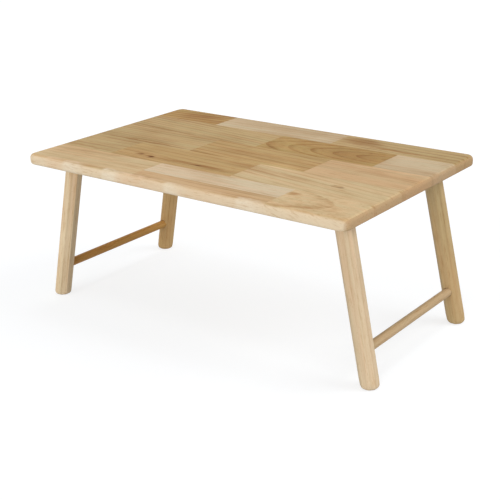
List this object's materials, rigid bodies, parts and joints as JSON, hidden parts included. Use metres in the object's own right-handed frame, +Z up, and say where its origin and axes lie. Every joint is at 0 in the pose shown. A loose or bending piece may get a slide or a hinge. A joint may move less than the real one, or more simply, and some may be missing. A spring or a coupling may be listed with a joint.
{
  "type": "folding laptop table",
  "caption": "Low folding laptop table: a wooden top with rounded edges on splayed octagonal legs, joined in pairs by round stretchers; each pair folds flat under the top on steel brackets.",
  "frame": {"origin": "on the floor, under the middle of the top", "axes": "+X along the table towards its right end, +Y towards its back edge, +Z up"},
  "size_m": [0.6404, 0.38, 0.262],
  "materials": {
    "top_wood": "satin clear lacquer",
    "leg_wood": "satin clear lacquer",
    "dowel_wood": "satin clear lacquer",
    "zinc_steel": "zinc plated",
    "bolt_steel": "zinc plated",
    "nylon": "matte",
    "brass": "turned"
  },
  "bodies": {
    "table_top": {"tabletop": "top_wood", "front_left_hinge_bracket": "zinc_steel", "front_left_bracket_screw_1": "bolt_steel", "front_left_bracket_screw_2": "bolt_steel", "front_left_bracket_screw_3": "bolt_steel", "front_left_bracket_screw_4": "bolt_steel", "back_left_hinge_bracket": "zinc_steel", "back_left_bracket_screw_1": "bolt_steel", "back_left_bracket_screw_2": "bolt_steel", "back_left_bracket_screw_3": "bolt_steel", "back_left_bracket_screw_4": "bolt_steel", "front_right_hinge_bracket": "zinc_steel", "front_right_bracket_screw_1": "bolt_steel", "front_right_bracket_screw_2": "bolt_steel", "front_right_bracket_screw_3": "bolt_steel", "front_right_bracket_screw_4": "bolt_steel", "back_right_hinge_bracket": "zinc_steel", "back_right_bracket_screw_1": "bolt_steel", "back_right_bracket_screw_2": "bolt_steel", "back_right_bracket_screw_3": "bolt_steel", "back_right_bracket_screw_4": "bolt_steel"},
    "left_frame": {"left_stretcher": "dowel_wood", "front_left_leg": "leg_wood", "front_left_leg_insert": "brass", "front_left_leg_washer": "nylon", "front_left_head_washer": "zinc_steel", "front_left_pivot_bolt": "bolt_steel", "back_left_leg": "leg_wood", "back_left_leg_insert": "brass", "back_left_leg_washer": "nylon", "back_left_head_washer": "zinc_steel", "back_left_pivot_bolt": "bolt_steel"},
    "right_frame": {"right_stretcher": "dowel_wood", "front_right_leg": "leg_wood", "front_right_leg_insert": "brass", "front_right_leg_washer": "nylon", "front_right_head_washer": "zinc_steel", "front_right_pivot_bolt": "bolt_steel", "back_right_leg": "leg_wood", "back_right_leg_insert": "brass", "back_right_leg_washer": "nylon", "back_right_head_washer": "zinc_steel", "back_right_pivot_bolt": "bolt_steel"}
  },
  "joints": [
    {"name": "left_frame_fold", "type": "hinge", "parent": "table_top", "child": "left_frame", "pos_m": [-0.25921, 0, 0.2307], "axis": [0, -1, 0], "range_deg": [0, 101.9]},
    {"name": "right_frame_fold", "type": "hinge", "parent": "table_top", "child": "right_frame", "pos_m": [0.25921, 0, 0.2307], "axis": [0, 1, 0], "range_deg": [0, 101.9]}
  ]
}
